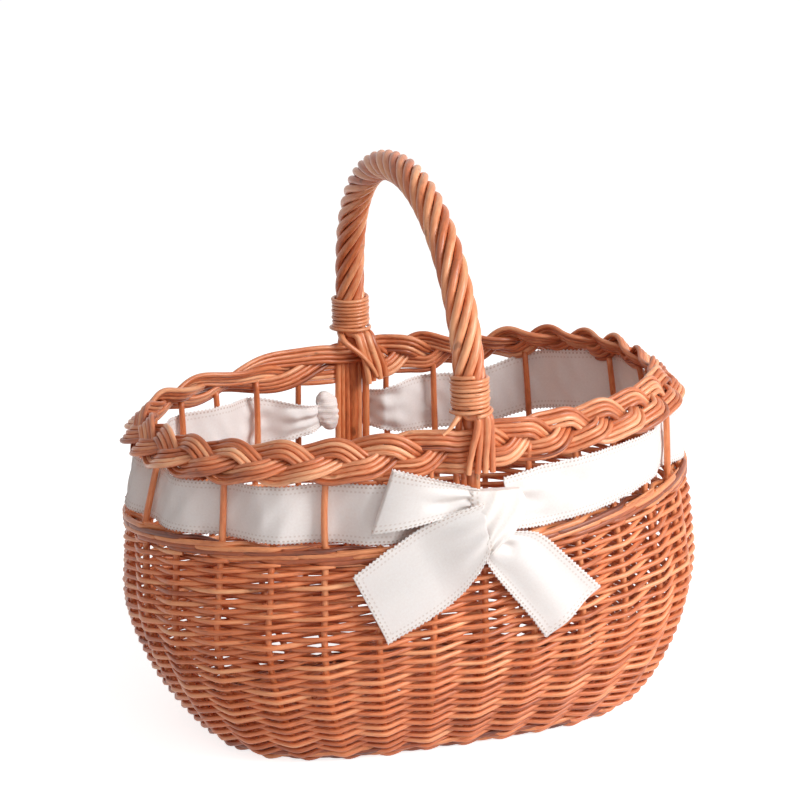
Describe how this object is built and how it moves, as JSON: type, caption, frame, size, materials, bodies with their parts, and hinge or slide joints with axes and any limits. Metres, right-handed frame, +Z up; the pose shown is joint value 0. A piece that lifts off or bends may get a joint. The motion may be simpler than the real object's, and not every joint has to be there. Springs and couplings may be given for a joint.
{
  "type": "wicker shopping basket",
  "caption": "Oval woven willow basket with a plaited border, a fixed roped arch handle and a cotton ribbon threaded through its open stakes and tied in a bow.",
  "frame": {"origin": "middle of the bounding box's footprint, on the plane that the foot ring stands on", "axes": "+X along the long side of the oval, to the right when the bow is seen from the front; +Z up; -Y towards the front, where the bow is tied; the handle arches from front to back"},
  "size_m": [0.4418, 0.3298, 0.4272],
  "materials": {
    "willow_foot": "satin, steamed brown willow",
    "willow_weave": "satin, steamed brown willow",
    "willow_wale": "satin, steamed brown willow",
    "willow_stake": "satin, steamed brown willow",
    "willow_border": "satin, steamed brown willow",
    "willow_core": "satin, steamed brown willow",
    "willow_handle": "satin, steamed brown willow",
    "willow_cane": "satin, split cane",
    "cotton_ribbon": "matte plain-woven cotton with hemstitched edges",
    "cotton_bow": "matte plain-woven cotton with hemstitched edges"
  },
  "bodies": {
    "root": {"foot_ring": "willow_foot", "base_weave": "willow_weave", "wall_weave": "willow_weave", "wale_ring": "willow_wale", "border_strand_1": "willow_border", "border_strand_2": "willow_border", "border_strand_3": "willow_border", "stake_01": "willow_stake", "stake_02": "willow_stake", "stake_03": "willow_stake", "stake_04": "willow_stake", "stake_05": "willow_stake", "stake_06": "willow_stake", "stake_07": "willow_stake", "stake_08": "willow_stake", "stake_09": "willow_stake", "stake_10": "willow_stake", "stake_11": "willow_stake", "stake_12": "willow_stake", "stake_13": "willow_stake", "stake_14": "willow_stake", "stake_16": "willow_stake", "stake_17": "willow_stake", "stake_18": "willow_stake", "stake_19": "willow_stake", "stake_20": "willow_stake", "stake_21": "willow_stake", "stake_22": "willow_stake", "stake_23": "willow_stake", "stake_24": "willow_stake", "stake_25": "willow_stake", "stake_26": "willow_stake", "stake_27": "willow_stake", "stake_28": "willow_stake", "stake_29": "willow_stake", "handle_core": "willow_core", "handle_rod_1": "willow_handle", "handle_rod_2": "willow_handle", "handle_rod_3": "willow_handle", "handle_rod_4": "willow_handle", "handle_rod_5": "willow_handle", "handle_rod_6": "willow_handle", "handle_rod_7": "willow_handle", "binding_front": "willow_cane", "binding_back": "willow_cane", "ribbon_right": "cotton_ribbon", "ribbon_left": "cotton_ribbon", "ribbon_knot_back": "cotton_ribbon", "bow_knot": "cotton_bow", "bow_loop": "cotton_bow", "bow_tail_left": "cotton_bow", "bow_tail_right": "cotton_bow"}
  },
  "joints": []
}
